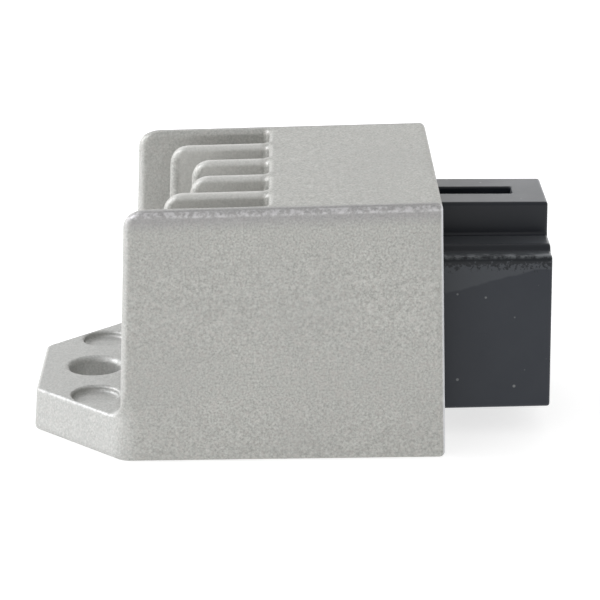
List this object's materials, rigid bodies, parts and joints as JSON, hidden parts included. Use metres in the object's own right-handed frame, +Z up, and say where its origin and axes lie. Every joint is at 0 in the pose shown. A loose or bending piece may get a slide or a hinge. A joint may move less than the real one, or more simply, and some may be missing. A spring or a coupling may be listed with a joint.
{
  "type": "voltage regulator rectifier",
  "caption": "Small finned die-cast voltage regulator and rectifier with a bolt-down tab at one end and a black plug socket with blade terminals at the other.",
  "frame": {"origin": "centre of the footprint, on the flat mounting face", "axes": "+X from the bolt tab to the plug socket's mouth, +Z up out of the mounting face, +Y across the fins"},
  "size_m": [0.075, 0.0472, 0.0373],
  "materials": {
    "cast_aluminium": "shot-blasted die casting, fine bright grain, matte",
    "epoxy": "poured black epoxy, glossy, slightly dished",
    "socket_plastic": "moulded black plastic, satin, lightly scuffed",
    "tinned_brass": "tin-plated brass, satin",
    "board_laminate": "green solder mask on glass laminate",
    "moulded_package": "black moulded epoxy package",
    "tinned_copper": "tinned copper",
    "silicone_pad": "glass-reinforced silicone sheet",
    "capacitor_sleeve": "aluminium can in a dark shrink sleeve",
    "seal_rubber": "moulded rubber",
    "film_capacitor_case": "red dipped film capacitor",
    "diode_glass": "amber glass body",
    "resistor_coat": "beige lacquer with plain bands"
  },
  "bodies": {
    "root": {"housing": "cast_aluminium", "potting_compound": "epoxy", "connector_shell": "socket_plastic", "terminal_blade_1": "tinned_brass", "terminal_blade_2": "tinned_brass", "terminal_blade_3": "tinned_brass", "terminal_blade_4": "tinned_brass", "circuit_board": "board_laminate", "thyristor_1_case": "moulded_package", "thyristor_1_heat_tab": "tinned_copper", "thyristor_1_gate_lead": "tinned_copper", "thyristor_1_cathode_lead": "tinned_copper", "thermal_pad_1": "silicone_pad", "thyristor_2_case": "moulded_package", "thyristor_2_heat_tab": "tinned_copper", "thyristor_2_gate_lead": "tinned_copper", "thyristor_2_cathode_lead": "tinned_copper", "thermal_pad_2": "silicone_pad", "capacitor_can": "capacitor_sleeve", "capacitor_seal": "seal_rubber", "capacitor_lead_1": "tinned_copper", "capacitor_lead_2": "tinned_copper", "film_capacitor": "film_capacitor_case", "driver_transistor": "moulded_package", "diode_1": "moulded_package", "diode_2": "moulded_package", "zener_diode_1": "diode_glass", "zener_diode_2": "diode_glass", "resistor_1": "resistor_coat", "resistor_2": "resistor_coat", "resistor_3": "resistor_coat", "resistor_4": "resistor_coat"}
  },
  "joints": []
}
